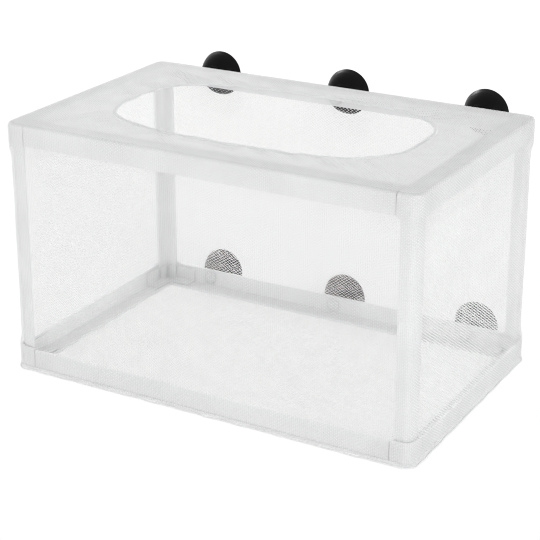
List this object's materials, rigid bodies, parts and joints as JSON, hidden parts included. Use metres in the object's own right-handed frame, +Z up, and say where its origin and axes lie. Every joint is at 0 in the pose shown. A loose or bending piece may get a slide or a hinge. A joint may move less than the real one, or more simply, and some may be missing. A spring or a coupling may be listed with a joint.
{
  "type": "fish breeding box",
  "caption": "Net breeding box: a knock-down frame of angle strips inside a fine net bag with an elastic mouth on top and suction cups on the back.",
  "frame": {"origin": "under the middle of the whole object, level with the lowest point of the bottom suction cups", "axes": "+X along the length to the right seen from the front, +Y from the front to the back where the suction cups are, +Z up towards the mouth"},
  "size_m": [0.2618, 0.1784, 0.1648],
  "materials": {
    "white_plastic": "white moulded plastic with a slight sheen",
    "white_net": "fine white nylon mesh",
    "white_elastic": "braided white elastic cord",
    "black_rubber": "smooth glossy black rubber"
  },
  "bodies": {
    "box": {"rail_front_bottom": "white_plastic", "rail_front_top": "white_plastic", "rail_back_bottom": "white_plastic", "rail_back_top": "white_plastic", "rail_left_bottom": "white_plastic", "rail_left_top": "white_plastic", "rail_right_bottom": "white_plastic", "rail_right_top": "white_plastic", "upright_front_left": "white_plastic", "connector_front_left_bottom": "white_plastic", "connector_front_left_top": "white_plastic", "upright_front_right": "white_plastic", "connector_front_right_bottom": "white_plastic", "connector_front_right_top": "white_plastic", "upright_back_left": "white_plastic", "connector_back_left_bottom": "white_plastic", "connector_back_left_top": "white_plastic", "upright_back_right": "white_plastic", "connector_back_right_bottom": "white_plastic", "connector_back_right_top": "white_plastic", "net_front": "white_net", "net_back": "white_net", "net_left": "white_net", "net_right": "white_net", "net_floor": "white_net", "net_top": "white_net", "floor_seam": "white_net", "mouth_hem": "white_net", "mouth_elastic": "white_elastic"},
    "cup_bottom_left_body": {"cup_bottom_left": "black_rubber", "peg_bottom_left": "white_plastic"},
    "cup_bottom_middle_body": {"cup_bottom_middle": "black_rubber", "peg_bottom_middle": "white_plastic"},
    "cup_bottom_right_body": {"cup_bottom_right": "black_rubber", "peg_bottom_right": "white_plastic"},
    "cup_top_left_body": {"cup_top_left": "black_rubber", "peg_top_left": "white_plastic"},
    "cup_top_middle_body": {"cup_top_middle": "black_rubber", "peg_top_middle": "white_plastic"},
    "cup_top_right_body": {"cup_top_right": "black_rubber", "peg_top_right": "white_plastic"}
  },
  "joints": [
    {"name": "cup_bottom_left_spin", "type": "hinge", "parent": "box", "child": "cup_bottom_left_body", "pos_m": [-0.0915, 0.07371, 0.0142], "axis": [0, 1, 0], "continuous": true},
    {"name": "cup_bottom_middle_spin", "type": "hinge", "parent": "box", "child": "cup_bottom_middle_body", "pos_m": [0, 0.07371, 0.0142], "axis": [0, 1, 0], "continuous": true},
    {"name": "cup_bottom_right_spin", "type": "hinge", "parent": "box", "child": "cup_bottom_right_body", "pos_m": [0.0915, 0.07371, 0.0142], "axis": [0, 1, 0], "continuous": true},
    {"name": "cup_top_left_spin", "type": "hinge", "parent": "box", "child": "cup_top_left_body", "pos_m": [-0.0915, 0.07371, 0.1506], "axis": [0, 1, 0], "continuous": true},
    {"name": "cup_top_middle_spin", "type": "hinge", "parent": "box", "child": "cup_top_middle_body", "pos_m": [0, 0.07371, 0.1506], "axis": [0, 1, 0], "continuous": true},
    {"name": "cup_top_right_spin", "type": "hinge", "parent": "box", "child": "cup_top_right_body", "pos_m": [0.0915, 0.07371, 0.1506], "axis": [0, 1, 0], "continuous": true}
  ]
}
